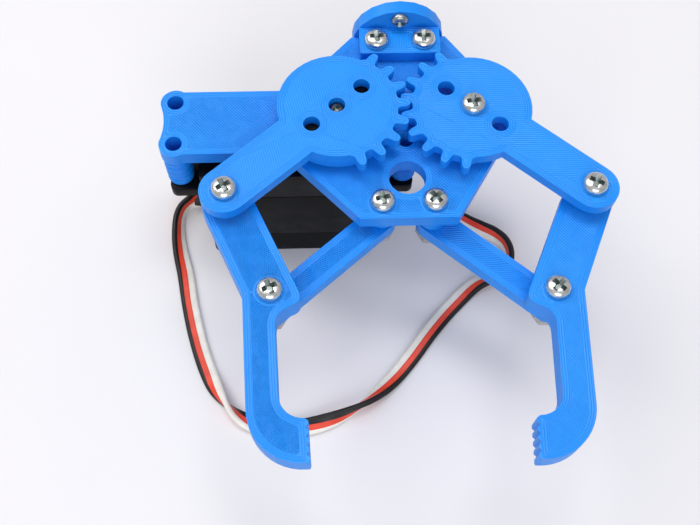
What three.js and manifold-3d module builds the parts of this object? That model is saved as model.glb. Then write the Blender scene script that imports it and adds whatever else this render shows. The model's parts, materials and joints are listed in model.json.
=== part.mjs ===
// Servo-driven two-finger gripper, the end piece of a small desktop robot arm, in millimetres, +Z up.
// It stands on the flat bottom of its servo. The jaws open towards -Y and the wrist flange faces +Y.
// The origin is the centre of the servo's bottom face, on the surface that the gripper stands on.
// Inside this file shapes are placed in the claw's own plan: x = 0 is the mid-plane between the two
// gear arms and y = 0 runs through both gear centres. The last lines shift the whole claw sideways.
import * as THREE from "three";
import { mergeVertices } from "three/addons/utils/BufferGeometryUtils.js";
import Module from "manifold-3d";

const wasm = await Module();
wasm.setup();

// ---------------------------------------------------------------- driving dimensions

const GAP = 0.3; // clearance between pieces that run on each other
const TOUCH = 0.1; // gap left between pieces that are clamped together

// linkage, seen from above
const GEAR_PITCH_R = 14.5; // half the distance between the gear centres
const GEAR_TEETH = 20; // teeth that a full gear of this pitch would have
const ARM_LENGTH = 30.7; // gear centre to finger pivot
const ARM_ANGLE = THREE.MathUtils.degToRad(40.7); // arm direction at rest, forward of the x axis
const PIVOT_INWARD = 9.0; // link pivot, inward from the gear centre
const PIVOT_FORWARD = 20.3; // link pivot, forward from the gear centre
const FINGER_PITCH = Math.hypot(PIVOT_INWARD, PIVOT_FORWARD); // finger pivot to link pivot

// levels above the surface that the servo stands on
const PALM_TOP = 42.5;
const PALM_T = 3.6;
const PALM_BOTTOM = PALM_TOP - PALM_T;
const ARM_T = 2.6;
const FINGER_T = 5.5;
const LINK_T = 3.5;
// the driven left half rides a little higher than the idle right half
const LEFT = { name: "left", side: -1, arm: PALM_TOP + 3.3, finger: PALM_TOP - 4.2, link: PALM_TOP - 10.2 };
const RIGHT = { name: "right", side: 1, arm: PALM_TOP + 2.1, finger: PALM_TOP - 6.4, link: PALM_TOP - 11.4 };

// fasteners: M3 pan-head screws
const SCREW_R = 1.5;
const HOLE_R = 1.8;
const HEAD_R = 2.6;
const HEAD_H = 2.0;
const NUT_FLAT_R = 2.75; // half the width across flats
const LOCK_NUT_H = 4.0;
const PLAIN_NUT_H = 2.4;

// gears
const GEAR_ROOT_R = 12.95;
const GEAR_PLAIN_R = 12.65;
const TOOTH_PITCH = 360 / GEAR_TEETH;
const LEFT_TOOTH_PHASE = 1.4; // degrees from the line between the centres to the nearest left tooth
const LEFT_TEETH = [-4, 3]; // first and last tooth, counted from the one on the centre line
const RIGHT_TEETH = [-5, 3];
const TOOTH_PROFILE = [
  [13.15, 5.3],
  [13.6, 4.5],
  [14.2, 4.05],
  [14.8, 3.45],
  [15.2, 2.75],
  [15.5, 1.7],
  [15.58, 0.6],
]; // radius, and half width in degrees
const SIDE_HOLE_OFFSET = 7.1;
const ARM_HALF_WIDTH = 5.15;
const HUB_R = 12.4;
const HUB_H = 2.2;

// fingers, in the finger's own plan: u runs from the arm pivot to the link pivot, v points outwards
const FINGER_HALF_WIDTH = 5.15;
const FINGER_END_U = 26.9;
const SHANK_ANGLE = THREE.MathUtils.degToRad(21.5); // shank turned outward from the u axis
const SHANK_OUTER = -2.65; // distances from the u, v origin across the shank
const SHANK_INNER = -8.9;
const JAW_FACE = -14.1;
const JAW_START = 46.8; // distances along the shank
const JAW_END = 55.2;
const TIP_R = 10.7;
const HOOK_R = 4.6;
const SERRATIONS = 5;
const SERRATION_DEPTH = 0.5;

// links
const LINK_HALF_WIDTH = 3.2;

// palm plate, with its extension over the servo
const PALM_FRONT = -24.1;
const PALM_FRONT_HALF = 10.3;
const PALM_REAR = 22.1;
const PALM_REAR_HALF = 10.6;
const PALM_SIDE = [25.5, 0.6];
const EXTENSION_HALF = 7.9;
const EXTENSION_REAR_X = -23.8;
const EXTENSION_FRONT_X = -25.5;
const EAR_R = 3.2;
const WAIST_X = -51.2;
const SIGHT_HOLE = [0, -14.5, 4.0]; // x, y, radius
const HORN_OPENING_R = 6;
const EAR_SWEEP = THREE.MathUtils.degToRad(205); // where an ear's round edge meets the waist
const PALM_SEGMENTS = 10;

// wrist bracket
const BRACKET_HALF = 8.9;
const BRACKET_FRONT = 15.3;
const FLANGE_FRONT = 22.3;
const FLANGE_T = 3.0;
const FLANGE_R = 10.3;
const FLANGE_Z = PALM_TOP - 2.0;
const BRACKET_BASE_T = 3.0;
const BRACKET_SCREW = [5.2, 18.5];
const FLANGE_HOLE_R = 1.1;
const FLANGE_HOLE_OFFSET = 7.9;
const FLANGE_HOLES = 4;
const WRIST_SCREW = { length: 2.9, headR: 1.9, headH: 1.3, shankR: 0.8 };

// servo, a standard-size one
const SERVO_CENTRE_X = -24.65;
const SERVO_LENGTH = 40.4;
const SERVO_WIDTH = 20;
const SERVO_WALL = 1.6;
const SERVO_CORNER_R = 1.2;
const BOTTOM_CASE_TOP = 8.6;
const SEAM = 26.6;
const EAR_TOP = 29.6;
const SERVO_TOP = 35.8;
const EAR_LENGTH = 54.2;
const EAR_WIDTH = 18.4;
const SERVO_HOLE_X = 24.75; // from the servo's centre
const SERVO_HOLE_Y = 5.2;
const STANDOFF_R = 3.0;
const EAR_HOLE_R = 2.1;
const MOUNT_SCREW_LENGTH = 8;
const MOUNT_HEAD_H = 1.8;
const BOSS_R = 6.2;
const BOSS_TOP = SERVO_TOP + 1.2;

// servo horn and output shaft
const SHAFT_R = 2.9;
const SHAFT_BOTTOM = 20.4;
const SHAFT_TOP = PALM_TOP - 1.2;
const HORN_R = 10;
const HORN_T = 2.1;
const HORN_HUB_R = 4.4;
const HORN_HUB_BOTTOM = 38.0;
const HORN_SCREW_HOLE_R = 1.4;
const HORN_SCREW = { length: 3.4, headR: 1.7, headH: 1.3, shankR: 1.1 };

// inside the servo
const OUTPUT_WHEEL_R = 8;
const OUTPUT_WHEEL_TEETH = 32;
const IDLER_SMALL_R = 3;
const IDLER_SMALL_TEETH = 12;
const IDLER_LARGE_R = 7.5;
const IDLER_LARGE_TEETH = 30;
const IDLER_PIN = { r: 0.8, bottom: 27.4, top: 33.9 };
const PINION_R = 1.5;
const PINION_TEETH = 6;
const PINION_PIN = { r: 0.7, bottom: 25.9, top: 33.6 };
const IDLER_X = -GEAR_PITCH_R - OUTPUT_WHEEL_R - IDLER_SMALL_R - GAP;
const MOTOR_X = IDLER_X - IDLER_LARGE_R - PINION_R - GAP;
const LOWER_WHEELS = [28.6, 30.8]; // bottom and top levels
const UPPER_WHEELS = [31.4, 33.4];
const WHEEL_TOOTH_H = 0.7;
const MOTOR = { r: 7.8, bottom: 4.6, top: 25.6 };
const BOARD = { length: 35, width: 15.6, bottom: 2.4, top: 3.6 };
const SENSOR = { r: 5.4, bottom: 13.5, top: 20.1 };

// servo lead: a flat ribbon of three wires, then one loose turn of what is left, and its connector
const LEAD_HALF_WIDTH = 2.05;
const LEAD_HALF_T = 0.7;
const LEAD_STEPS = 56;
const LEAD_ROUTE = [
  [-47.6, 3.6, 2.6],
  [-48.8, 3.5, 2.6],
  [-51.2, 2.7, 2.6],
  [-53.1, 0.8, 2.5],
  [-54.0, -2.0, 2.3],
  [-54.0, -6.4, 2.0],
  [-53.3, -11.2, 1.6],
  [-51.9, -17.0, 0.95],
  [-50.5, -25.0, 0.95],
  [-48.5, -33.6, 0.95],
  [-46.1, -41.1, 0.95],
  [-43.0, -47.8, 0.95],
  [-39.2, -52.6, 0.95],
  [-34.6, -55.3, 0.95],
  [-28.6, -56.4, 0.95],
  [-22.4, -56.1, 0.95],
  [-16.1, -54.6, 0.95],
  [-10.4, -51.9, 0.95],
  [-5.8, -48.6, 0.95],
  [-2.0, -45.0, 0.95],
  [2.4, -39.9, 0.95],
  [7.6, -33.2, 0.95],
  [13.2, -27.0, 0.95],
  [19.2, -21.7, 0.95],
  [25.2, -19.4, 0.95],
  [27.6, -17.1, 0.95],
  [28.5, -13.8, 0.95],
  [27.6, -10.5, 0.95],
  [25.2, -8.1, 0.95],
  [21.9, -6.2, 0.95],
  [18.6, -4.1, 0.95],
  [15.8, -1.7, 0.95],
  [14.5, 1.8, 0.95],
  [13.9, 4.8, 0.95],
  [14.6, 9.2, 0.95],
];
const COIL_CENTRE = [9, 32];
const COIL_OUTER_R = 21.4;
const COIL_INNER_R = 12.6;
const COIL_H = 1.6;
const CONNECTOR = [14.0, 7.6, 2.6];
const CONNECTOR_CENTRE = [11.3, 36.8];
const CONNECTOR_TURN = THREE.MathUtils.degToRad(150);
const GROMMET = { length: 2.2, width: 5.2, x: -46.25, y: 3.6, bottom: 1.2, top: 4.0 };

// ---------------------------------------------------------------- materials

function material(color, roughness, metalness) {
  return new THREE.MeshStandardMaterial({ color, roughness, metalness });
}

const bluePlastic = material(0x1f86f2, 0.45, 0);
const blackPlastic = material(0x17181a, 0.5, 0);
const blackRubber = material(0x101012, 0.8, 0);
const zinc = material(0xc9cdd0, 0.3, 1);
const steel = material(0x9a9ea3, 0.4, 1);
const brass = material(0xc79a4a, 0.35, 1);
const whiteNylon = material(0xe9e6dc, 0.5, 0);
const greenBoard = material(0x1d6b3c, 0.6, 0);
const redWire = material(0xb5312a, 0.5, 0);

// ---------------------------------------------------------------- shape helpers

function solid(geometry) {
  const bare = geometry.clone();
  bare.deleteAttribute("normal");
  bare.deleteAttribute("uv");
  const merged = mergeVertices(bare, 1e-4);
  const vertProperties = new Float32Array(merged.attributes.position.array);
  const triVerts = new Uint32Array(merged.index.array);
  return new wasm.Manifold(new wasm.Mesh({ numProp: 3, vertProperties, triVerts }));
}

function geometryOf(body) {
  const mesh = body.getMesh();
  const geometry = new THREE.BufferGeometry();
  geometry.setAttribute("position", new THREE.BufferAttribute(mesh.vertProperties, 3));
  geometry.setIndex(new THREE.BufferAttribute(mesh.triVerts, 1));
  const flat = geometry.toNonIndexed();
  flat.computeVertexNormals();
  return flat;
}

// A plate of the given outline between two levels. Outlines run anticlockwise and holes clockwise.
function plate(shape, bottom, top, curveSegments = 6) {
  const drawn = shape.extractPoints(curveSegments);
  const turned = (points, clockwise) => {
    return THREE.ShapeUtils.isClockWise(points) === clockwise ? points : [...points].reverse();
  };
  const outline = new THREE.Shape(turned(drawn.shape, false));
  outline.holes = drawn.holes.map((points) => new THREE.Path(turned(points, true)));
  const geometry = new THREE.ExtrudeGeometry(outline, { depth: top - bottom, bevelEnabled: false });
  return geometry.translate(0, 0, bottom);
}

function circleShape(x, y, r) {
  const shape = new THREE.Shape();
  shape.absarc(x, y, r, 0, Math.PI * 2, false);
  return shape;
}

function addHole(shape, x, y, r) {
  const hole = new THREE.Path();
  hole.absarc(x, y, r, 0, Math.PI * 2, true);
  shape.holes.push(hole);
}

function ringPlate(x, y, outer, inner, bottom, top) {
  const shape = circleShape(x, y, outer);
  addHole(shape, x, y, inner);
  return plate(shape, bottom, top, 9);
}

function roundedRectangle(length, width, r, cx = 0, cy = 0) {
  const x = length / 2;
  const y = width / 2;
  const shape = new THREE.Shape();
  shape.moveTo(cx - x + r, cy - y);
  shape.lineTo(cx + x - r, cy - y);
  shape.absarc(cx + x - r, cy - y + r, r, -Math.PI / 2, 0, false);
  shape.absarc(cx + x - r, cy + y - r, r, 0, Math.PI / 2, false);
  shape.absarc(cx - x + r, cy + y - r, r, Math.PI / 2, Math.PI, false);
  shape.absarc(cx - x + r, cy - y + r, r, Math.PI, Math.PI * 1.5, false);
  return shape;
}

function mesh(name, geometry, look) {
  const made = new THREE.Mesh(geometry, look);
  made.name = name;
  return made;
}

// ---------------------------------------------------------------- fasteners

// A pan-head screw along Z: head on top of the level `seat`, shank down by `length`.
function panScrew(seat, length, headR = HEAD_R, headH = HEAD_H, shankR = SCREW_R) {
  const crown = [
    [headR, seat + headH * 0.45],
    [headR * 0.93, seat + headH * 0.72],
    [headR * 0.72, seat + headH * 0.93],
    [headR * 0.4, seat + headH],
    [0, seat + headH],
  ];
  const profile = [
    [0, seat - length],
    [shankR - 0.3, seat - length],
    [shankR, seat - length + 0.4],
    [shankR, seat],
    [headR, seat],
    ...crown,
  ];
  const points = profile.map(([r, z]) => new THREE.Vector2(r, z));
  return new THREE.LatheGeometry(points, 20).rotateX(Math.PI / 2);
}

function hexNut(top, height) {
  const shape = new THREE.Shape();
  for (let k = 0; k < 6; k += 1) {
    const angle = (k * Math.PI) / 3;
    const r = NUT_FLAT_R / Math.cos(Math.PI / 6);
    const point = [r * Math.cos(angle), r * Math.sin(angle)];
    if (k === 0) shape.moveTo(...point);
    else shape.lineTo(...point);
  }
  addHole(shape, 0, 0, HOLE_R);
  return plate(shape, top - height, top, 6);
}

// Screw, nut and, where there is one, spacer of a joint. Levels are the faces that they touch.
function fastenerSet(name, { seat, length, nutTop, nutHeight }, spacer) {
  const group = new THREE.Group();
  group.add(mesh(`${name}_screw`, panScrew(seat + TOUCH, length), zinc));
  group.add(mesh(`${name}_nut`, hexNut(nutTop - TOUCH, nutHeight), zinc));
  if (spacer) {
    const ring = ringPlate(0, 0, spacer.r, HOLE_R, spacer.bottom + GAP, spacer.top - GAP);
    group.add(mesh(`${name}_spacer`, ring, spacer.look));
  }
  return group;
}

// ---------------------------------------------------------------- gear arms

// Outline of a gear arm in a plan where +x points at the mid-plane and the gear centre is the origin.
function gearArmOutline(firstTooth, lastTooth, phase) {
  const degrees = THREE.MathUtils.degToRad;
  const at = (r, angle) => [r * Math.cos(angle), r * Math.sin(angle)];
  const points = [];
  for (let k = firstTooth; k <= lastTooth; k += 1) {
    const centre = phase + k * TOOTH_PITCH;
    points.push(at(GEAR_ROOT_R, degrees(centre - TOOTH_PITCH * 0.4)));
    TOOTH_PROFILE.forEach(([r, half]) => points.push(at(r, degrees(centre - half))));
    [...TOOTH_PROFILE].reverse().forEach(([r, half]) => points.push(at(r, degrees(centre + half))));
    points.push(at(GEAR_ROOT_R, degrees(centre + TOOTH_PITCH * 0.4)));
  }
  const arm = Math.PI + ARM_ANGLE;
  const shoulder = Math.asin(ARM_HALF_WIDTH / GEAR_PLAIN_R);
  const arc = (from, to, steps) => {
    for (let i = 0; i <= steps; i += 1) {
      points.push(at(GEAR_PLAIN_R, from + ((to - from) * i) / steps));
    }
  };
  arc(degrees(phase + (lastTooth + 0.5) * TOOTH_PITCH), arm - shoulder, 16);
  const end = at(ARM_LENGTH, arm);
  for (let i = 0; i <= 16; i += 1) {
    const [x, y] = at(ARM_HALF_WIDTH, arm - Math.PI / 2 + (Math.PI * i) / 16);
    points.push([end[0] + x, end[1] + y]);
  }
  arc(arm + shoulder, degrees(phase + (firstTooth - 0.5) * TOOTH_PITCH) + Math.PI * 2, 6);
  return points;
}

function gearArm({ side, arm: bottom }) {
  const top = bottom + ARM_T;
  const teeth = side < 0 ? LEFT_TEETH : RIGHT_TEETH;
  const phase = LEFT_TOOTH_PHASE + (side < 0 ? 0 : TOOTH_PITCH / 2);
  const outline = gearArmOutline(...teeth, phase);
  const shape = new THREE.Shape();
  outline.forEach(([x, y], i) => {
    if (i === 0) shape.moveTo(-side * x, y);
    else shape.lineTo(-side * x, y);
  });
  const armX = side * Math.cos(ARM_ANGLE);
  const armY = -Math.sin(ARM_ANGLE);
  [-SIDE_HOLE_OFFSET, SIDE_HOLE_OFFSET, ARM_LENGTH].forEach((d) => {
    addHole(shape, d * armX, d * armY, HOLE_R);
  });
  addHole(shape, 0, 0, HOLE_R);
  let body = solid(plate(shape, bottom, top, 9));
  if (side < 0) {
    // a plain hub under the driven gear, recessed from below for the servo horn
    const hub = solid(plate(circleShape(0, 0, HUB_R), bottom - HUB_H, bottom + 0.5, 16));
    const recess = solid(plate(circleShape(0, 0, HORN_R + GAP), 0, bottom, 16));
    body = body.add(hub).subtract(recess);
    [0, -SIDE_HOLE_OFFSET, SIDE_HOLE_OFFSET].forEach((d) => {
      const drill = circleShape(d * armX, d * armY, HOLE_R);
      body = body.subtract(solid(plate(drill, 0, top + 1, 9)));
    });
  } else {
    // a small foot that holds the idle gear at the same height
    const foot = ringPlate(0, 0, 4.2, HOLE_R, PALM_TOP + GAP, bottom + 0.5);
    body = body.add(solid(foot));
  }
  return geometryOf(body);
}

// ---------------------------------------------------------------- fingers and links

// Finger outline: a strap between its two pivots, then a slimmer shank that ends in a hooked jaw.
function fingerShape(side) {
  const c = Math.cos(SHANK_ANGLE);
  const s = Math.sin(SHANK_ANGLE);
  const uv = (along, across) => [along * c - across * s, side * (along * s + across * c)];
  const shape = new THREE.Shape();
  const w = FINGER_HALF_WIDTH;
  shape.moveTo(0, -side * w);
  shape.absarc(0, 0, w, (-side * Math.PI) / 2, (side * Math.PI) / 2, side > 0);
  const kink = (w - SHANK_OUTER * c) / s;
  shape.lineTo(...uv(kink, SHANK_OUTER));
  const tipStart = JAW_END - TIP_R;
  for (let i = 0; i <= 12; i += 1) {
    const angle = (Math.PI / 2) * (1 - i / 12);
    const across = SHANK_OUTER - TIP_R + TIP_R * Math.sin(angle);
    shape.lineTo(...uv(tipStart + TIP_R * Math.cos(angle), across));
  }
  shape.lineTo(...uv(JAW_END, JAW_FACE));
  const step = (JAW_END - JAW_START) / SERRATIONS;
  for (let i = 0; i < SERRATIONS; i += 1) {
    const start = JAW_END - i * step;
    shape.lineTo(...uv(start - step * 0.3, JAW_FACE - SERRATION_DEPTH * 0.4));
    shape.lineTo(...uv(start - step * 0.7, JAW_FACE - SERRATION_DEPTH * 0.2));
    shape.lineTo(...uv(start - step * 0.9, JAW_FACE + SERRATION_DEPTH * 0.6));
    if (i < SERRATIONS - 1) shape.lineTo(...uv(start - step, JAW_FACE + SERRATION_DEPTH * 0.6));
  }
  for (let i = 0; i <= 8; i += 1) {
    const angle = (Math.PI / 2) * (i / 8);
    const along = JAW_START - HOOK_R + HOOK_R * Math.cos(angle);
    shape.lineTo(...uv(along, SHANK_INNER - HOOK_R + HOOK_R * Math.sin(angle)));
  }
  // concave run from the shank to the square end beside the link pivot
  const inner = (u) => (SHANK_INNER + u * s) / c;
  shape.lineTo(FINGER_END_U + 2.5, side * inner(FINGER_END_U + 2.5));
  shape.quadraticCurveTo(FINGER_END_U, side * inner(FINGER_END_U), FINGER_END_U, -side * 1.9);
  shape.lineTo(FINGER_END_U, -side * (w - 2.2));
  shape.quadraticCurveTo(FINGER_END_U, -side * w, FINGER_END_U - 2.4, -side * w);
  addHole(shape, 0, 0, HOLE_R);
  addHole(shape, FINGER_PITCH, 0, HOLE_R);
  return shape;
}

// A straight link with round ends, from its pivot on the palm along +x.
function linkShape() {
  const shape = new THREE.Shape();
  shape.absarc(0, 0, LINK_HALF_WIDTH, Math.PI / 2, Math.PI * 1.5, false);
  shape.absarc(ARM_LENGTH, 0, LINK_HALF_WIDTH, -Math.PI / 2, Math.PI / 2, false);
  addHole(shape, 0, 0, HOLE_R);
  addHole(shape, ARM_LENGTH, 0, HOLE_R);
  return shape;
}

// One half of the claw: gear arm, finger, link and the fasteners of their pivots.
function clawHalf(half) {
  const { name, side } = half;
  const armTop = half.arm + ARM_T;
  const fingerTop = half.finger + FINGER_T;
  const linkTop = half.link + LINK_T;
  const shoulder = [side * GEAR_PITCH_R, 0];
  const elbow = [
    side * (GEAR_PITCH_R + ARM_LENGTH * Math.cos(ARM_ANGLE)),
    -ARM_LENGTH * Math.sin(ARM_ANGLE),
  ];
  const inward = ([x, y]) => [x - side * PIVOT_INWARD, y - PIVOT_FORWARD];
  const group = new THREE.Group();
  const place = (piece, [x, y], turn = 0) => {
    piece.position.set(x, y, 0);
    piece.rotation.z = turn;
    group.add(piece);
  };
  const towardsLink = Math.atan2(-PIVOT_FORWARD, -side * PIVOT_INWARD);
  const outward = side < 0 ? Math.PI + ARM_ANGLE : -ARM_ANGLE;
  const fingerPlate = plate(fingerShape(side), half.finger, fingerTop, 8);
  const linkPlate = plate(linkShape(), half.link, linkTop, 8);
  place(mesh(`${name}_gear_arm`, gearArm(half), bluePlastic), shoulder);
  place(mesh(`${name}_finger`, fingerPlate, bluePlastic), elbow, towardsLink);
  place(mesh(`${name}_link`, linkPlate, bluePlastic), inward(shoulder), outward);

  const armPivot = { seat: armTop, length: 16, nutTop: half.finger, nutHeight: LOCK_NUT_H };
  const armSpacer = { r: 3.4, bottom: fingerTop, top: half.arm, look: zinc };
  place(fastenerSet(`${name}_arm_pivot`, armPivot, armSpacer), elbow);
  const fingerPivot = { seat: fingerTop, length: 16, nutTop: half.link, nutHeight: LOCK_NUT_H };
  const fingerSpacer = { r: 3.0, bottom: linkTop, top: half.finger, look: bluePlastic };
  place(fastenerSet(`${name}_finger_pivot`, fingerPivot, fingerSpacer), inward(elbow));
  const linkPivot = { seat: PALM_TOP, length: 16, nutTop: half.link, nutHeight: LOCK_NUT_H };
  const linkSpacer = { r: 3.0, bottom: linkTop, top: PALM_BOTTOM, look: bluePlastic };
  place(fastenerSet(`${name}_link_pivot`, linkPivot, linkSpacer), inward(shoulder));
  return group;
}

// ---------------------------------------------------------------- palm plate and wrist bracket

function palmPlate() {
  const holeX = SERVO_CENTRE_X - SERVO_HOLE_X;
  const shape = new THREE.Shape();
  shape.moveTo(-PALM_FRONT_HALF, PALM_FRONT);
  shape.lineTo(PALM_FRONT_HALF, PALM_FRONT);
  shape.lineTo(...PALM_SIDE);
  shape.lineTo(PALM_REAR_HALF, PALM_REAR);
  shape.lineTo(-PALM_REAR_HALF, PALM_REAR);
  shape.lineTo(EXTENSION_REAR_X, EXTENSION_HALF);
  // two round ears at the far end, with a hollow waist between them
  const dip = Math.acos((EXTENSION_HALF - SERVO_HOLE_Y) / EAR_R);
  const waistEnd = [holeX + EAR_R * Math.cos(EAR_SWEEP), -SERVO_HOLE_Y - EAR_R * Math.sin(EAR_SWEEP)];
  shape.absarc(holeX, SERVO_HOLE_Y, EAR_R, Math.PI / 2 - dip, EAR_SWEEP, false);
  shape.quadraticCurveTo(WAIST_X, 0, ...waistEnd);
  shape.absarc(holeX, -SERVO_HOLE_Y, EAR_R, -EAR_SWEEP, -Math.PI / 2 + dip, false);
  shape.lineTo(EXTENSION_FRONT_X, -EXTENSION_HALF);
  addHole(shape, ...SIGHT_HOLE);
  addHole(shape, -GEAR_PITCH_R, 0, HORN_OPENING_R);
  addHole(shape, GEAR_PITCH_R, 0, HOLE_R);
  [-1, 1].forEach((side) => {
    addHole(shape, side * (GEAR_PITCH_R - PIVOT_INWARD), -PIVOT_FORWARD, HOLE_R);
    addHole(shape, side * BRACKET_SCREW[0], BRACKET_SCREW[1], HOLE_R);
    addHole(shape, holeX, side * SERVO_HOLE_Y, HOLE_R);
    addHole(shape, SERVO_CENTRE_X + SERVO_HOLE_X, side * SERVO_HOLE_Y, HOLE_R);
  });
  return plate(shape, PALM_BOTTOM, PALM_TOP, PALM_SEGMENTS);
}

// An angle bracket: a base screwed on the palm and a round flange that stands up behind it.
function wristBracket() {
  const bottom = PALM_TOP + TOUCH;
  const length = FLANGE_FRONT - BRACKET_FRONT + 1;
  const base = roundedRectangle(BRACKET_HALF * 2, length, 0.6, 0, BRACKET_FRONT + length / 2);
  [-1, 1].forEach((side) => addHole(base, side * BRACKET_SCREW[0], BRACKET_SCREW[1], HOLE_R));
  const flange = circleShape(0, 0, FLANGE_R);
  addHole(flange, 0, 0, HOLE_R);
  for (let k = 0; k < FLANGE_HOLES; k += 1) {
    const angle = (k * 2 * Math.PI) / FLANGE_HOLES;
    const x = FLANGE_HOLE_OFFSET * Math.cos(angle);
    const y = FLANGE_HOLE_OFFSET * Math.sin(angle);
    addHole(flange, x, y, FLANGE_HOLE_R);
  }
  const disc = plate(flange, 0, FLANGE_T, 10).rotateX(Math.PI / 2);
  disc.translate(0, FLANGE_FRONT + FLANGE_T, FLANGE_Z);
  const foot = solid(plate(base, bottom, bottom + BRACKET_BASE_T, 8));
  return geometryOf(solid(disc).add(foot));
}

function bracketFasteners(group) {
  [LEFT, RIGHT].forEach(({ name, side }) => {
    const seat = PALM_TOP + TOUCH + BRACKET_BASE_T;
    const set = { seat, length: 10, nutTop: PALM_BOTTOM, nutHeight: PLAIN_NUT_H };
    const pieces = fastenerSet(`${name}_bracket`, set);
    pieces.position.set(side * BRACKET_SCREW[0], BRACKET_SCREW[1], 0);
    group.add(pieces);
  });
  const { length, headR, headH, shankR } = WRIST_SCREW;
  const wristScrew = panScrew(0, length, headR, headH, shankR).rotateX(Math.PI / 2);
  wristScrew.translate(0, FLANGE_FRONT - TOUCH, FLANGE_Z + FLANGE_HOLE_OFFSET);
  group.add(mesh("wrist_screw", wristScrew, zinc));
}

function gearPivot(group) {
  const seat = RIGHT.arm + ARM_T;
  const set = { seat, length: 12, nutTop: PALM_BOTTOM, nutHeight: LOCK_NUT_H };
  const pieces = fastenerSet("right_gear_pivot", set);
  pieces.position.set(GEAR_PITCH_R, 0, 0);
  group.add(pieces);
}

// ---------------------------------------------------------------- servo

function servoRing(length, width, wall, bottom, top) {
  const shape = roundedRectangle(length, width, SERVO_CORNER_R, SERVO_CENTRE_X, 0);
  const inside = roundedRectangle(length - 2 * wall, width - 2 * wall, 0.8, SERVO_CENTRE_X, 0);
  shape.holes.push(new THREE.Path(inside.getPoints(3).reverse()));
  return plate(shape, bottom, top, 3);
}

function servoLid(length, width, bottom, top) {
  return plate(roundedRectangle(length, width, SERVO_CORNER_R, SERVO_CENTRE_X, 0), bottom, top, 3);
}

function servoBottomCase() {
  const floor = solid(servoLid(SERVO_LENGTH, SERVO_WIDTH, 0, SERVO_WALL));
  const wall = solid(servoRing(SERVO_LENGTH, SERVO_WIDTH, SERVO_WALL, 0.5, BOTTOM_CASE_TOP));
  return geometryOf(floor.add(wall));
}

function servoTopCase() {
  const wall = solid(servoRing(SERVO_LENGTH, SERVO_WIDTH, SERVO_WALL, SEAM + GAP, SERVO_TOP - 0.5));
  const lid = solid(servoLid(SERVO_LENGTH, SERVO_WIDTH, SERVO_TOP - SERVO_WALL, SERVO_TOP));
  const boss = solid(plate(circleShape(-GEAR_PITCH_R, 0, BOSS_R), SERVO_TOP - 1, BOSS_TOP, 10));
  const ears = roundedRectangle(EAR_LENGTH, EAR_WIDTH, 1.5, SERVO_CENTRE_X, 0);
  const innerWidth = SERVO_WIDTH - 2 * SERVO_WALL;
  const inner = roundedRectangle(SERVO_LENGTH - 1, innerWidth, 0.5, SERVO_CENTRE_X, 0);
  ears.holes.push(new THREE.Path(inner.getPoints(3).reverse()));
  [-1, 1].forEach((end) => {
    [-1, 1].forEach((side) => {
      addHole(ears, SERVO_CENTRE_X + end * SERVO_HOLE_X, side * SERVO_HOLE_Y, EAR_HOLE_R);
    });
  });
  const earPlate = solid(plate(ears, SEAM + GAP, EAR_TOP, 6));
  const bore = solid(plate(circleShape(-GEAR_PITCH_R, 0, SHAFT_R + GAP), EAR_TOP, BOSS_TOP + 1, 8));
  return geometryOf(wall.add(lid).add(boss).add(earPlate).subtract(bore));
}

// A plain spur wheel of the servo's inner train, with a short tooth for each step of its rim.
function trainWheel(x, tipR, teeth, bottom, top) {
  const shape = new THREE.Shape();
  for (let k = 0; k < teeth; k += 1) {
    const step = (Math.PI * 2) / teeth;
    [
      [tipR - WHEEL_TOOTH_H, 0],
      [tipR, 0.2],
      [tipR, 0.45],
      [tipR - WHEEL_TOOTH_H, 0.65],
    ].forEach(([r, part], i) => {
      const angle = (k + part) * step;
      const point = [x + r * Math.cos(angle), r * Math.sin(angle)];
      if (k === 0 && i === 0) shape.moveTo(...point);
      else shape.lineTo(...point);
    });
  }
  return plate(shape, bottom, top, 4);
}

function outputShaft() {
  const rim = trainWheel(-GEAR_PITCH_R, OUTPUT_WHEEL_R, OUTPUT_WHEEL_TEETH, ...LOWER_WHEELS);
  const wheel = solid(rim);
  const shaft = solid(plate(circleShape(-GEAR_PITCH_R, 0, SHAFT_R), SHAFT_BOTTOM, SHAFT_TOP, 8));
  return geometryOf(wheel.add(shaft));
}

function idlerWheel() {
  const low = [LOWER_WHEELS[0], UPPER_WHEELS[0] + 0.2];
  const small = solid(trainWheel(IDLER_X, IDLER_SMALL_R, IDLER_SMALL_TEETH, ...low));
  const large = solid(trainWheel(IDLER_X, IDLER_LARGE_R, IDLER_LARGE_TEETH, ...UPPER_WHEELS));
  const pin = plate(circleShape(IDLER_X, 0, IDLER_PIN.r), IDLER_PIN.bottom, IDLER_PIN.top, 4);
  return geometryOf(small.add(large).add(solid(pin)));
}

function motorPinion() {
  const wheel = solid(trainWheel(MOTOR_X, PINION_R, PINION_TEETH, ...UPPER_WHEELS));
  const pin = plate(circleShape(MOTOR_X, 0, PINION_PIN.r), PINION_PIN.bottom, PINION_PIN.top, 4);
  return geometryOf(wheel.add(solid(pin)));
}

function servoHorn() {
  const outline = (r) => circleShape(-GEAR_PITCH_R, 0, r);
  const at = (r, bottom, top, segments) => solid(plate(outline(r), bottom, top, segments));
  const disc = at(HORN_R, LEFT.arm - TOUCH - HORN_T, LEFT.arm - TOUCH, 12);
  const hub = at(HORN_HUB_R, HORN_HUB_BOTTOM, LEFT.arm - 1.5, 8);
  const socket = at(SHAFT_R + GAP, 0, SHAFT_TOP + GAP, 8);
  const screwHole = at(HORN_SCREW_HOLE_R, 0, LEFT.arm + 1, 5);
  return geometryOf(disc.add(hub).subtract(socket).subtract(screwHole));
}

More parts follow.
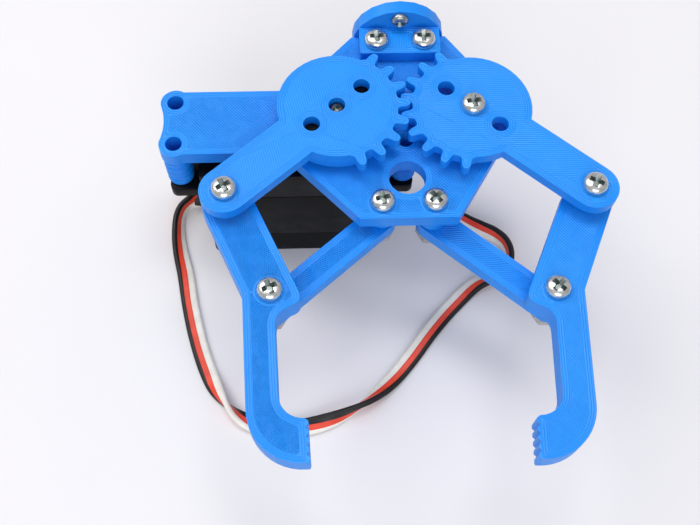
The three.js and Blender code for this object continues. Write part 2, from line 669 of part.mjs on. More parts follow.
function servoInside(group) {
  const motorCan = plate(circleShape(MOTOR_X, 0, MOTOR.r), MOTOR.bottom, MOTOR.top, 10);
  group.add(mesh("servo_motor", motorCan, steel));
  const board = roundedRectangle(BOARD.length, BOARD.width, 0.5, SERVO_CENTRE_X, 0);
  group.add(mesh("servo_control_board", plate(board, BOARD.bottom, BOARD.top, 2), greenBoard));
  const sensor = plate(circleShape(-GEAR_PITCH_R, 0, SENSOR.r), SENSOR.bottom, SENSOR.top, 8);
  group.add(mesh("servo_position_sensor", sensor, blackPlastic));
  group.add(mesh("servo_output_shaft", outputShaft(), brass));
  group.add(mesh("servo_idler_wheel", idlerWheel(), whiteNylon));
  group.add(mesh("servo_motor_pinion", motorPinion(), brass));
}

function servo() {
  const group = new THREE.Group();
  group.add(mesh("servo_bottom_case", servoBottomCase(), blackPlastic));
  const middle = servoRing(SERVO_LENGTH, SERVO_WIDTH, SERVO_WALL, BOTTOM_CASE_TOP + TOUCH, SEAM);
  group.add(mesh("servo_middle_case", middle, blackPlastic));
  group.add(mesh("servo_top_case", servoTopCase(), blackPlastic));
  servoInside(group);
  group.add(mesh("servo_horn", servoHorn(), blackPlastic));
  const { length, headR, headH, shankR } = HORN_SCREW;
  const hornScrew = panScrew(LEFT.arm + TOUCH, length, headR, headH, shankR);
  group.add(mesh("servo_horn_screw", hornScrew.translate(-GEAR_PITCH_R, 0, 0), steel));
  return group;
}

function servoMounting(group) {
  [-1, 1].forEach((end) => {
    [-1, 1].forEach((side) => {
      const label = `${end < 0 ? "left" : "right"}_${side < 0 ? "front" : "rear"}`;
      const spot = new THREE.Group();
      spot.position.set(SERVO_CENTRE_X + end * SERVO_HOLE_X, side * SERVO_HOLE_Y, 0);
      const post = ringPlate(0, 0, STANDOFF_R, HOLE_R, EAR_TOP + TOUCH, PALM_BOTTOM - TOUCH);
      spot.add(mesh(`standoff_${label}`, post, bluePlastic));
      const screw = panScrew(0, MOUNT_SCREW_LENGTH, HEAD_R, MOUNT_HEAD_H).rotateX(Math.PI);
      screw.translate(0, 0, SEAM + GAP - TOUCH);
      spot.add(mesh(`servo_mount_screw_${label}`, screw, zinc));
      group.add(spot);
    });
  });
}

// ---------------------------------------------------------------- lead

function leadSection() {
  const w = LEAD_HALF_WIDTH;
  const t = LEAD_HALF_T;
  const shape = new THREE.Shape();
  shape.moveTo(t, w - t);
  shape.lineTo(t * 0.5, w);
  shape.lineTo(-t * 0.5, w);
  shape.lineTo(-t, w - t);
  shape.lineTo(-t, t - w);
  shape.lineTo(-t * 0.5, -w);
  shape.lineTo(t * 0.5, -w);
  shape.lineTo(t, t - w);
  return shape;
}

function lead(group) {
  const points = LEAD_ROUTE.map((point) => new THREE.Vector3(...point));
  const path = new THREE.CatmullRomCurve3(points, false, "centripetal");
  const tube = new THREE.ExtrudeGeometry(leadSection(), { steps: LEAD_STEPS, extrudePath: path });
  group.add(mesh("servo_lead", tube, redWire));

  const [x, y] = COIL_CENTRE;
  const profile = [
    [COIL_INNER_R, TOUCH],
    [COIL_OUTER_R, TOUCH],
    [COIL_OUTER_R, COIL_H],
    [COIL_INNER_R, COIL_H],
    [COIL_INNER_R, TOUCH],
  ].map(([r, z]) => new THREE.Vector2(r, z));
  const ring = new THREE.LatheGeometry(profile, 32).rotateX(Math.PI / 2).translate(x, y, 0);
  group.add(mesh("servo_lead_coil", ring, redWire));

  const [length, width, height] = CONNECTOR;
  const block = plate(roundedRectangle(length, width, 0.5), TOUCH, height + TOUCH, 2);
  const connector = mesh("lead_connector", block, blackPlastic);
  connector.position.set(...CONNECTOR_CENTRE, 0);
  connector.rotation.z = CONNECTOR_TURN;
  group.add(connector);

  const grommet = roundedRectangle(GROMMET.length, GROMMET.width, 0.4, GROMMET.x, GROMMET.y);
  group.add(mesh("lead_grommet", plate(grommet, GROMMET.bottom, GROMMET.top, 2), blackRubber));
}

// ---------------------------------------------------------------- assembly

const claw = new THREE.Group();
claw.add(mesh("palm_plate", palmPlate(), bluePlastic));
claw.add(mesh("wrist_bracket", wristBracket(), bluePlastic));
bracketFasteners(claw);
gearPivot(claw);
claw.add(clawHalf(LEFT));
claw.add(clawHalf(RIGHT));
claw.add(servo());
servoMounting(claw);
lead(claw);
claw.position.x = -SERVO_CENTRE_X;

const gripper = new THREE.Group();
gripper.add(claw);

export default gripper;
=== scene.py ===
"""Looks of a servo-driven two-finger gripper: printed blue plates, zinc screws and a black servo.

Plans are in millimetres from the gripper's mid-plane, as in the CAD source, and are turned into
metres in the row frame by plan().
"""

import json
import math
import random

import bmesh
import bpy
import numpy as np
from mathutils import Matrix, Vector
from mathutils.geometry import delaunay_2d_cdt

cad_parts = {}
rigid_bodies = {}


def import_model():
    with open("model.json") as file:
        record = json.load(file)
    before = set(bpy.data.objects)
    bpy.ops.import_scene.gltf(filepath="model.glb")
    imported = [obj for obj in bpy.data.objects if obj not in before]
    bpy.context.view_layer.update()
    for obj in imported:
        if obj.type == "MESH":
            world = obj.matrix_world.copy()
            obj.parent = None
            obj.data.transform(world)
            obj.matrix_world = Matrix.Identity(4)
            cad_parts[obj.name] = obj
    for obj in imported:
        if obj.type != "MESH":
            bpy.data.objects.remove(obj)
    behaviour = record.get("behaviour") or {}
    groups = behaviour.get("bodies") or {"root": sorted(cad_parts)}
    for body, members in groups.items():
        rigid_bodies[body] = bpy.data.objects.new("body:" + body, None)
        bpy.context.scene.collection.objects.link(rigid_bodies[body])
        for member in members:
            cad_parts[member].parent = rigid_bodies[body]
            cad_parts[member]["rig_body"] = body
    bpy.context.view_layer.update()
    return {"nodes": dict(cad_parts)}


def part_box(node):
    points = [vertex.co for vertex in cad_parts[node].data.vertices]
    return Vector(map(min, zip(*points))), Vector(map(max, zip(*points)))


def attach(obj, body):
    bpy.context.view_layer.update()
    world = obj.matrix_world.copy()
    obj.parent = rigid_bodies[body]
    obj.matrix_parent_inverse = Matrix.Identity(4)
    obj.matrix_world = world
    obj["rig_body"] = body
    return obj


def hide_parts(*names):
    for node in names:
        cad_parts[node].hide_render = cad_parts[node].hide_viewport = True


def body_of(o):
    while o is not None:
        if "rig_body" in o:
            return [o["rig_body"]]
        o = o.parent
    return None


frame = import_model()

MM = 0.001
MID_PLANE_X = 24.65  # the gripper's mid-plane in the row frame, mm

# camera
TARGET = (11.91, -34.0, 42.5)
DISTANCE = 193.67
ELEVATION = 64.92
AZIMUTH = -4.18
ROLL = 2.54
LENS = 49.49

# fasteners, mm
SCREW_R = 1.5
THREAD_PITCH = 0.5
THREAD_DEPTH = 0.27
THREAD_RINGS = 4  # to a turn of the thread
SCREW_SIDES = 32
HEAD_R = 2.6
HEAD_H = 2.0
MOUNT_HEAD_H = 1.8
SMALL_HEAD_H = 1.3
# a pan head's outline from its seat up: shares of its radius and height
CROWN = [
    (0.97, 0.0),
    (1.0, 0.06),
    (1.0, 0.38),
    (0.985, 0.5),
    (0.94, 0.64),
    (0.86, 0.76),
    (0.74, 0.87),
    (0.58, 0.95),
    (0.4, 0.99),
    (0.2, 1.0),
]
NUT_FLAT_R = 2.75
LOCK_NUT_H = 4.0

# printing, mm
LINE_WIDTH = 0.5
LAYER = 0.35
LAPS = 3  # perimeters round each flat face
EDGE_BEVEL = 0.16
POST_BORE_R = 1.8
POST_LAYER = 0.5
POST_SHIFT = 0.14  # how far a layer of a standoff strays sideways

# servo lead: three wires side by side
WIRE_R = 0.7
WIRE_PITCH = 1.34
LEAD_WIDTH = 4.1
FLOOR_CLEARANCE = 0.08
LEAD_ROUTE = [
    (-47.6, 3.6, 2.6),
    (-48.8, 3.5, 2.6),
    (-51.2, 2.7, 2.6),
    (-53.1, 0.8, 2.5),
    (-54.0, -2.0, 2.3),
    (-54.0, -6.4, 2.0),
    (-53.3, -11.2, 1.6),
    (-51.9, -17.0, 0.95),
    (-50.5, -25.0, 0.95),
    (-48.5, -33.6, 0.95),
    (-46.1, -41.1, 0.95),
    (-43.0, -47.8, 0.95),
    (-39.2, -52.6, 0.95),
    (-34.6, -55.3, 0.95),
    (-28.6, -56.4, 0.95),
    (-22.4, -56.1, 0.95),
    (-16.1, -54.6, 0.95),
    (-10.4, -51.9, 0.95),
    (-5.8, -48.6, 0.95),
    (-2.0, -45.0, 0.95),
    (2.4, -39.9, 0.95),
    (7.6, -33.2, 0.95),
    (13.2, -27.0, 0.95),
    (19.2, -21.7, 0.95),
    (25.2, -19.4, 0.95),
    (27.6, -17.1, 0.95),
    (28.5, -13.8, 0.95),
    (27.6, -10.5, 0.95),
    (25.2, -8.1, 0.95),
    (21.9, -6.2, 0.95),
    (18.6, -4.1, 0.95),
    (15.8, -1.7, 0.95),
    (14.5, 1.8, 0.95),
    (13.9, 4.8, 0.95),
    (14.6, 9.2, 0.95),
]
LEAD_STEP = 0.8  # between samples of its line
EXIT_SAMPLES = 12  # the first samples, which may stand higher than the floor needs
# where the ribbon turns over, and over what length
HALF_TWISTS = [(-41.3, -50.2, 22.0), (-11.5, -52.5, 34.0)]
# it rolls onto its edge just outside the servo, and has lain down again after ROLL_FADE
ROLL_AT_EXIT = math.radians(80)
ROLL_START = 1.0
ROLL_RISE = 3.0
ROLL_FADE = 34.0
# it leans outward where it turns back under the palm, and less and less up to LEAN_SPAN from there
LEAN_AT = (28.4, -14.2)
LEAN = math.radians(76)
LEAN_SPAN = 20.0
COIL_CENTRE = (9.0, 32.0)
COIL_START = (-50, 19.3)  # angle and radius where the lead joins its coil
COIL_END = (315, 15.1)
COIL_STEP = 15  # degrees
COIL_TAIL = [(21.7, 24.8), (21.7, 28.8), (19.7, 32.2), (16.4, 34.3), (12.6, 36.1)]
CONNECTOR_TURN = math.radians(150)
CONNECTOR_SIZE = (14.0, 7.6, 2.6)
GROMMET_LENGTH = 5.0
# the grommet's outline away from the servo: share of its length, half its width and half its height
GROMMET_OUTLINE = [
    (0, 2.5, 1.35),
    (0.12, 2.6, 1.4),
    (0.22, 2.45, 1.25),
    (0.5, 2.25, 1.05),
    (0.9, 2.02, 0.84),
    (1, 1.9, 0.72),
]

# studio: name, place in metres, power, width, depth and colour of each light
LIGHTS = [
    ("key", (-0.52, 0.3, 0.8), 3.5, 0.6, 0.6, (1.0, 0.99, 0.97)),
    ("overhead", (0.08, 0.15, 0.95), 2.7, 0.55, 0.22, (1.0, 0.99, 0.98)),
    ("front", (0.0, -0.8, 0.55), 3.0, 0.6, 0.6, (0.99, 0.99, 1.0)),
]
LIGHT_AIM = (0.02, -0.02, 0.02)
FLOOR_HALF = 5.0  # metres
FLOOR_STEPS = 12

BODY = {name: body_of(node)[0] for name, node in frame["nodes"].items()}


def plan(x, y, z=0.0):
    """A point of the plan, in metres in the row frame."""
    return Vector(((x + MID_PLANE_X) * MM, y * MM, z * MM))


# ---------------------------------------------------------------- camera


def add_camera():
    data = bpy.data.cameras.new("camera")
    data.lens = LENS
    data.sensor_width = 36
    data.clip_start = 0.01
    data.clip_end = 20
    camera = bpy.data.objects.new("camera", data)
    bpy.context.scene.collection.objects.link(camera)
    azimuth, elevation, roll = (math.radians(a) for a in (AZIMUTH, ELEVATION, ROLL))
    back = Vector(
        (
            math.sin(azimuth) * math.cos(elevation),
            -math.cos(azimuth) * math.cos(elevation),
            math.sin(elevation),
        )
    )
    level = Vector((math.cos(azimuth), math.sin(azimuth), 0))
    right = math.cos(roll) * level + math.sin(roll) * back.cross(level)
    turn = Matrix((right, back.cross(right), back)).transposed()
    place = Vector(TARGET) * MM + back * DISTANCE * MM
    camera.matrix_world = Matrix.Translation(place) @ turn.to_4x4()
    bpy.context.scene.camera = camera


# ---------------------------------------------------------------- material nodes


class Look:
    """A material whose shader inputs come from small chains of nodes."""

    def __init__(self, name, **constants):
        self.material = bpy.data.materials.new(name)
        self.material.use_nodes = True
        self.tree = self.material.node_tree
        self.shader = self.tree.nodes["Principled BSDF"]
        for key, value in constants.items():
            self.shader.inputs[key.replace("_", " ")].default_value = value
        where = self.tree.nodes.new("ShaderNodeTexCoord")
        self.place = self.vector("SCALE", where.outputs["Object"], scale=1 / MM)
        self.normal = where.outputs["Normal"]

    def feed(self, socket, value):
        if isinstance(value, bpy.types.NodeSocket):
            self.tree.links.new(value, socket)
        elif value is not None:
            socket.default_value = value

    def math(self, operation, a, b=None, c=None, clamp=False):
        node = self.tree.nodes.new("ShaderNodeMath")
        node.operation = operation
        node.use_clamp = clamp
        for socket, value in zip(node.inputs, (a, b, c)):
            self.feed(socket, value)
        return node.outputs[0]

    def vector(self, operation, a, b=None, scale=None):
        node = self.tree.nodes.new("ShaderNodeVectorMath")
        node.operation = operation
        self.feed(node.inputs[0], a)
        self.feed(node.inputs[1], b)
        if scale is not None:
            self.feed(node.inputs["Scale"], scale)
        return node.outputs["Value" if operation == "DOT_PRODUCT" else "Vector"]

    def mix(self, factor, a, b):
        node = self.tree.nodes.new("ShaderNodeMix")
        node.data_type = "RGBA"
        self.feed(node.inputs[0], factor)
        self.feed(node.inputs[6], a)
        self.feed(node.inputs[7], b)
        return node.outputs[2]

    def blend(self, factor, a, b):
        """a where factor is 0 and b where it is 1, for numbers."""
        return self.math("MULTIPLY_ADD", factor, self.math("SUBTRACT", b, a), a)

    def noise(self, size, detail):
        """Noise from 0 to 1 with spots of about that size, in mm."""
        node = self.tree.nodes.new("ShaderNodeTexNoise")
        node.inputs["Scale"].default_value = 1 / size
        node.inputs["Detail"].default_value = detail
        self.feed(node.inputs["Vector"], self.place)
        return node.outputs[0]

    def ramp(self, value, low, high, out_low=0.0, out_high=1.0):
        node = self.tree.nodes.new("ShaderNodeMapRange")
        for socket, number in zip(node.inputs, (value, low, high, out_low, out_high)):
            self.feed(socket, number)
        return node.outputs[0]

    def ridges(self, along, pitch):
        """Rounded ridges from 0 to 1 across a coordinate."""
        wave = self.math("SINE", self.math("MULTIPLY", along, 2 * math.pi / pitch))
        return self.math("MULTIPLY_ADD", wave, 0.5, 0.5)

    def line(self, degrees):
        """How far along a level direction a point lies, in mm."""
        angle = math.radians(degrees)
        return self.vector("DOT_PRODUCT", self.place, (math.cos(angle), math.sin(angle), 0))

    def attribute(self, name):
        node = self.tree.nodes.new("ShaderNodeAttribute")
        node.attribute_name = name
        return node.outputs["Fac"]

    def finish(self, colour, roughness, height, distance, strength):
        """Ends the chains in the shader. height is raised or sunk by up to that distance, in mm."""
        self.feed(self.shader.inputs["Base Color"], colour)
        self.feed(self.shader.inputs["Roughness"], roughness)
        bump = self.tree.nodes.new("ShaderNodeBump")
        bump.inputs["Strength"].default_value = strength
        bump.inputs["Distance"].default_value = distance * MM
        self.feed(bump.inputs["Height"], height)
        self.feed(self.shader.inputs["Normal"], bump.outputs[0])
        return self.material


def printed_look(name, raster_degrees, rough, zigzag=0.0, travel=()):
    """Blue filament: perimeters along the outline, raster lines inside them, layers up the walls.

    zigzag bends the raster into a herringbone, and travel holds the direction and offset, in degrees
    and mm, of the thin marks that the nozzle leaves when it crosses the face.
    """
    look = Look(name, Specular_IOR_Level=0.42)
    across = look.line(raster_degrees)
    along = look.line(raster_degrees + 90)
    wander = look.noise(7, 1)
    across = look.math("MULTIPLY_ADD", wander, 0.5, across)
    if zigzag:
        across = look.math("MULTIPLY_ADD", look.math("PINGPONG", along, 1.9), zigzag, across)
    raster = look.ridges(across, LINE_WIDTH)
    laps = look.attribute("lap")
    perimeter = look.ridges(laps, 1)
    inside = look.ramp(laps, LAPS - 0.12, LAPS)
    _, _, up = axes(look, look.normal)
    level = look.ramp(look.math("ABSOLUTE", up), 0.6, 0.8)
    _, _, z = axes(look, look.place)
    layers = look.ridges(look.math("MULTIPLY_ADD", look.noise(2.5, 2), 0.2, z), LAYER)
    flat = look.blend(inside, perimeter, raster)
    height = look.blend(level, layers, flat)
    # thin and thick stretches of line
    patch = look.ramp(look.noise(1.8, 3), 0.36, 0.6, 0.75 * rough, rough)
    depth = look.blend(look.math("MULTIPLY", level, inside), 0.5, patch)
    valley = look.math("MULTIPLY", look.math("SUBTRACT", 1.0, height), depth)
    for degrees, offset in travel:
        away = look.math("ABSOLUTE", look.math("SUBTRACT", look.line(degrees), offset))
        broken = look.ramp(look.noise(6, 1), 0.42, 0.55, 0.0, 0.5)
        mark = look.math("MULTIPLY", look.ramp(away, 0.05, 0.2), level)
        mark = look.math("MULTIPLY", look.math("SUBTRACT", level, mark), broken)
        valley = look.math("MAXIMUM", valley, mark)
    # deep blue for the valleys of the lines, layers and travel marks: painted shade in the grooves
    groove_shade_blue = (0.001, 0.135, 0.62, 1)
    bright = (0.002, 0.275, 0.93, 1)
    pale = (0.004, 0.3, 0.98, 1)
    colour = look.mix(look.ramp(look.noise(14, 2), 0.35, 0.7), bright, pale)
    # the valleys, and the travel marks with them, are painted darker towards this blue as painted shade in
    # the grooves
    colour = look.mix(look.math("MULTIPLY", valley, 0.62, clamp=True), colour, groove_shade_blue)
    gloss = look.ramp(look.noise(5, 4), 0.3, 0.7, 0.32, 0.46)
    relief = look.math("MULTIPLY_ADD", look.noise(0.35, 2), 0.25, look.math("SUBTRACT", 1.0, valley))
    return look.finish(colour, gloss, relief, distance=0.13, strength=1.0)


def axes(look, vector):
    node = look.tree.nodes.new("ShaderNodeSeparateXYZ")
    look.feed(node.inputs[0], vector)
    return node.outputs


def moulded_look(name, colour, worn, roughness, **constants):
    """Moulded plastic or rubber with a fine grain, and a duller tone where it has been handled."""
    look = Look(name, **constants)
    wear = look.ramp(look.noise(9, 4), 0.42, 0.7)
    tone = look.mix(wear, (*colour, 1), (*worn, 1))
    gloss = look.ramp(look.noise(4, 3), 0.3, 0.7, roughness - 0.06, roughness + 0.08)
    return look.finish(tone, gloss, look.noise(0.25, 2), distance=0.02, strength=0.5)


def metal_look(name, colour, tint, roughness):
    look = Look(name, Metallic=1.0)
    tone = look.mix(look.ramp(look.noise(1.1, 3), 0.42, 0.62), (*colour, 1), (*tint, 1))
    gloss = look.ramp(look.noise(0.7, 4), 0.3, 0.72, roughness - 0.07, roughness + 0.12)
    return look.finish(tone, gloss, look.noise(0.22, 3), distance=0.012, strength=0.5)


def wire_look(name, colour, dull):
    """Soft insulation, faintly ribbed by the strands inside."""
    look = Look(name, Specular_IOR_Level=0.4)
    tone = look.mix(look.ramp(look.noise(3, 3), 0.35, 0.65), (*colour, 1), (*dull, 1))
    gloss = look.ramp(look.noise(2, 2), 0.3, 0.7, 0.38, 0.52)
    return look.finish(tone, gloss, look.noise(0.5, 2), distance=0.03, strength=0.5)


BLACK = moulded_look(
    "black_plastic",
    (0.003, 0.003, 0.0035),
    (0.005, 0.005, 0.006),
    0.46,
    Specular_IOR_Level=0.14,
)
RUBBER = moulded_look("black_rubber", (0.008, 0.008, 0.009), (0.016, 0.016, 0.017), 0.66)
NYLON = moulded_look("white_nylon", (0.72, 0.71, 0.66), (0.62, 0.6, 0.53), 0.45)
BOARD = moulded_look("circuit_board", (0.01, 0.11, 0.035), (0.02, 0.16, 0.06), 0.4)
ZINC = metal_look("zinc_fastener", (0.78, 0.78, 0.77), (0.62, 0.65, 0.64), 0.26)
# zinc for the cross recess: a greenish passivation tint, and darker as painted shade in the recess
RECESS_TINT_AND_SHADE = metal_look("zinc_recess_tint_and_shade", (0.4, 0.45, 0.44), (0.2, 0.25, 0.25), 0.38)
# steel painted dark as shade, for the horn screw that sits down in the horn's hole
HORN_STEEL_IN_SHADE = metal_look("horn_screw_steel_painted_shade", (0.14, 0.14, 0.15), (0.09, 0.09, 0.1), 0.4)
# a darker copy of the zinc: painted shade, for the nuts under the plates and the wrist screw in its recessed
# flange
ZINC_IN_SHADE = metal_look("zinc_nut", (0.5, 0.5, 0.48), (0.38, 0.39, 0.38), 0.3)
STEEL = metal_look("motor_steel", (0.42, 0.43, 0.44), (0.33, 0.34, 0.36), 0.34)
BRASS = metal_look("servo_brass", (0.7, 0.48, 0.19), (0.58, 0.37, 0.13), 0.27)
WIRES = [
    wire_look("black_wire", (0.005, 0.005, 0.005), (0.012, 0.011, 0.011)),
    wire_look("red_wire", (0.86, 0.075, 0.035), (0.74, 0.055, 0.028)),
    wire_look("white_wire", (0.9, 0.87, 0.81), (0.8, 0.76, 0.69)),
]

# ---------------------------------------------------------------- piece helpers


def new_piece(name, mesh, looks, body, replaces=(), smooth=35, matrix=None):
    piece = bpy.data.objects.new(name, mesh)
    bpy.context.scene.collection.objects.link(piece)
    if matrix is not None:
        piece.matrix_world = matrix
    if not mesh.materials:
        for look in looks:
            mesh.materials.append(look)
    if smooth:
        mesh.shade_smooth()
        mesh.set_sharp_from_angle(angle=math.radians(smooth))
    else:
        mesh.polygons.foreach_set("use_smooth", [True] * len(mesh.polygons))
    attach(piece, body)
    if replaces:
        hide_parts(*replaces)
    return piece


def mesh_from(name, points, faces, indices=None):
    mesh = bpy.data.meshes.new(name)
    mesh.from_pydata([tuple(p) for p in points], [], faces)
    if indices:
        mesh.polygons.foreach_set("material_index", indices)
    mesh.validate()
    return mesh


def rings_to_faces(rows, count, closed_rows=False):
    """Quads between neighbouring rings of points. The last ring joins the first, or both get an end cap."""
    faces = []
    last = rows if closed_rows else rows - 1
    for row in range(last):
        for k in range(count):
            a, b = row * count + k, row * count + (k + 1) % count
            step = ((row + 1) % rows - row) * count
            faces.append((a, b, b + step, a + step))
    if not closed_rows:
        faces.append(tuple(reversed(range(count))))
        faces.append(tuple(range((rows - 1) * count, rows * count)))
    return faces


def ring(r, z, count):
    angles = [2 * math.pi * k / count for k in range(count)]
    return [(r * math.cos(angle), r * math.sin(angle), z) for angle in angles]


def in_metres(points):
    return [tuple(c * MM for c in p) for p in points]


def cut(mesh, cutter, index=0):
    """The mesh less the cutter, as a new mesh. The faces that the cut makes get that material index."""
    base = bpy.data.objects.new("cut_base", mesh)
    cutter.polygons.foreach_set("material_index", [index] * len(cutter.polygons))
    tool = bpy.data.objects.new("cut_tool", cutter)
    for o in (base, tool):
        bpy.context.scene.collection.objects.link(o)
    step = base.modifiers.new("cut", "BOOLEAN")
    step.operation = "DIFFERENCE"
    step.object = tool
    step.solver = "EXACT"
    graph = bpy.context.evaluated_depsgraph_get()
    made = bpy.data.meshes.new_from_object(base.evaluated_get(graph))
    bpy.data.objects.remove(base)
    bpy.data.objects.remove(tool)
    return made


# ---------------------------------------------------------------- screws and nuts


def cross_cutter(reach, half_width, depth, top):
    """A tapered cross, as a driver leaves it in a screw's head."""
    levels = (
        (top - depth, reach * 0.34, half_width * 0.6),
        (top + 0.3, reach * 1.1, half_width * 1.15),
    )
    points = []
    for z, r, w in levels:
        for k in range(4):
            c, s = math.cos(k * math.pi / 2), math.sin(k * math.pi / 2)
            points += [(x * c - y * s, x * s + y * c, z) for x, y in ((w, -w), (r, -w), (r, w))]
    return mesh_from("cross", in_metres(points), rings_to_faces(2, 12))


def thread_rings(r, length, tip, count):
    """Rings down a threaded shank whose ridge climbs as it goes round."""
    rows = []
    steps = round(length / (THREAD_PITCH / THREAD_RINGS))
    for i in range(steps + 1):
        z = -length + tip + (length - tip) * i / steps
        row = []
        for k in range(count):
            phase = (z / THREAD_PITCH - k / count) % 1
            ridge = abs(2 * phase - 1)
            radius = r - (THREAD_DEPTH if i in (0, steps) else THREAD_DEPTH * (1 - ridge))
            angle = 2 * math.pi * k / count
            row.append((radius * math.cos(angle), radius * math.sin(angle), z))
        rows.append(row)
    return rows


def screw_mesh(name, length, head_r=HEAD_R, head_h=HEAD_H, shank_r=SCREW_R, plain=False):
    """A pan-head screw: seat at the origin, head up, threaded shank down."""
    count = SCREW_SIDES
    rows = [ring(shank_r - 0.45, -length, count)]
    if plain:
        rows += [ring(shank_r, -length + 0.4, count), ring(shank_r, 0, count)]
    else:
        rows += thread_rings(shank_r, length, 0.3, count)
    rows += [ring(head_r * r, head_h * z, count) for r, z in CROWN]
    points = [p for row in rows for p in row]
    body = mesh_from(name, in_metres(points), rings_to_faces(len(rows), count))
    recess = cross_cutter(head_r * 0.66, head_r * 0.2, head_h * 0.7, head_h)
    made = cut(body, recess, index=1)
    made.name = name
    return made


def nut_mesh(name, height, lock):
    """A hexagon nut with chamfered corners, and a nylon ring in its collar where it is a lock nut."""
    per_flat = 6
    count = 6 * per_flat
    hexagon = []
    for k in range(count):
        angle = 2 * math.pi * k / count
        off_flat = (angle - math.pi / 6) % (math.pi / 3)
        off_flat = min(off_flat, math.pi / 3 - off_flat)
        hexagon.append((angle, NUT_FLAT_R / math.cos(off_flat)))
    drop = math.tan(math.radians(30))
    hex_h = height * 0.66 if lock else height

    def outline(z, sign):
        made = []
        for angle, r in hexagon:
            level = z - sign * (r - NUT_FLAT_R) * drop
            made.append((r * math.cos(angle), r * math.sin(angle), level))
        return made

    bore = SCREW_R + 0.06
    rows = [ring(bore, 0.35, count), ring(bore + 0.3, 0, count), ring(NUT_FLAT_R * 0.96, 0, count)]
    rows += [outline(0.02, -1), outline(hex_h - 0.02, 1)]
    nylon_rows = range(0)
    if lock:
        rim = NUT_FLAT_R * 0.9
        rows += [ring(rim, hex_h, count), ring(rim, height - 0.7, count)]
        rows += [ring(rim - 0.14, height - 0.3, count), ring(rim - 0.5, height - 0.05, count)]
        rows += [ring(rim - 0.72, height - 0.12, count)]
        nylon_start = len(rows)
        rows += [ring(rim - 0.76, height - 0.42, count), ring(bore + 0.12, height - 0.45, count)]
        rows += [ring(bore, height - 0.6, count), ring(bore, height - 1.2, count)]
        nylon_rows = range(nylon_start, len(rows) - 1)
    else:
        rows += [ring(NUT_FLAT_R * 0.96, height, count), ring(bore + 0.3, height, count)]
        rows += [ring(bore, height - 0.35, count)]
    points = [p for row in rows for p in row]
    faces = rings_to_faces(len(rows), count, closed_rows=True)
    indices = [int(i // count in nylon_rows) for i in range(len(faces))]
    return mesh_from(name, in_metres(points), faces, indices)


# how far each screw was turned when it was tight, degrees
SCREW_TURNS = {
    "left_bracket_screw": 4,
    "right_bracket_screw": -3,
    "right_gear_pivot_screw": 7,
    "left_link_pivot_screw": 12,
    "right_link_pivot_screw": 40,
    "left_arm_pivot_screw": 28,
    "right_arm_pivot_screw": 62,
    "left_finger_pivot_screw": 24,
    "right_finger_pivot_screw": 44,
}


def add_turned(name, mesh, look, seat, turn):
    """A turned screw in the place of its CAD node."""
    place = Matrix.Translation(seat) @ turn
    new_piece(f"{name}_turned", mesh, [look, RECESS_TINT_AND_SHADE], BODY[name], [name], matrix=place)


def add_screws():
    shared = {}
    for name, turn in SCREW_TURNS.items():
        low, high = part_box(name)
        length = round((high.z - low.z) / MM - HEAD_H, 1)
        if length not in shared:
            shared[length] = screw_mesh(f"pan_screw_{length:g}", length)
        seat = Vector(((low.x + high.x) / 2, (low.y + high.y) / 2, high.z - HEAD_H * MM))
        add_turned(name, shared[length], ZINC, seat, Matrix.Rotation(math.radians(turn), 4, "Z"))
    mount = screw_mesh("mount_screw", 8, HEAD_R, MOUNT_HEAD_H)
    for k, name in enumerate(n for n in frame["nodes"] if n.startswith("servo_mount_screw_")):
        low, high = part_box(name)
        seat = Vector(((low.x + high.x) / 2, (low.y + high.y) / 2, low.z + MOUNT_HEAD_H * MM))
        turn = Matrix.Rotation(math.pi, 4, "X") @ Matrix.Rotation(0.4 + 0.7 * k, 4, "Z")
        add_turned(name, mount, ZINC, seat, turn)
    low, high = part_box("wrist_screw")
    wrist = screw_mesh("small_screw", 2.9, 1.9, SMALL_HEAD_H, 0.8, plain=True)
    seat = Vector(((low.x + high.x) / 2, low.y + SMALL_HEAD_H * MM, (low.z + high.z) / 2))
    add_turned("wrist_screw", wrist, ZINC_IN_SHADE, seat, Matrix.Rotation(math.pi / 2, 4, "X"))
    low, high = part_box("servo_horn_screw")
    horn = screw_mesh("horn_screw", 3.4, 1.7, SMALL_HEAD_H, 1.1, plain=True)
    seat = Vector(((low.x + high.x) / 2, (low.y + high.y) / 2, high.z - SMALL_HEAD_H * MM))
    add_turned("servo_horn_screw", horn, HORN_STEEL_IN_SHADE, seat, Matrix.Rotation(0.5, 4, "Z"))


def add_nuts():
    shared = {}
    for name in sorted(n for n in frame["nodes"] if n.endswith("_nut")):
        low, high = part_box(name)
        height = (high.z - low.z) / MM
        lock = height > LOCK_NUT_H - 0.5
        if lock not in shared:
            shared[lock] = nut_mesh("lock_nut" if lock else "plain_nut", height, lock)
        seat = Vector(((low.x + high.x) / 2, (low.y + high.y) / 2, high.z))
        place = Matrix.Translation(seat) @ Matrix.Rotation(math.pi, 4, "X")
        looks = [ZINC_IN_SHADE, NYLON]
        new_piece(f"{name}_hex", shared[lock], looks, BODY[name], [name], 28, place)


# ---------------------------------------------------------------- printed plates


def flat_groups(bm, side):
    """The level faces that look up (side 1) or down (side -1), by height."""
    groups = {}
    for face in bm.faces:
        if face.normal.z * side > 0.999:
            groups.setdefault(round(face.calc_center_median().z, 5), []).append(face)
    return groups.values()


def to_segments(points, starts, ends):
    """How far each point is from the nearest of the segments, and whether they enclose it."""
    run = ends - starts
    length = np.maximum((run * run).sum(1), 1e-18)
    away = points[:, None, :] - starts[None, :, :]
    share = np.clip((away * run).sum(2) / length, 0, 1)
    far = np.linalg.norm(away - share[..., None] * run, axis=2).min(1)
    x, y = points[:, :1], points[:, 1:]
    spans = (starts[:, 1] > y) != (ends[:, 1] > y)
    rise = np.where(run[:, 1] == 0, 1e-18, run[:, 1])
    crossing = starts[:, 0] + (y - starts[:, 1]) * run[:, 0] / rise
    return far, (spans & (x < crossing)).sum(1) % 2 == 1


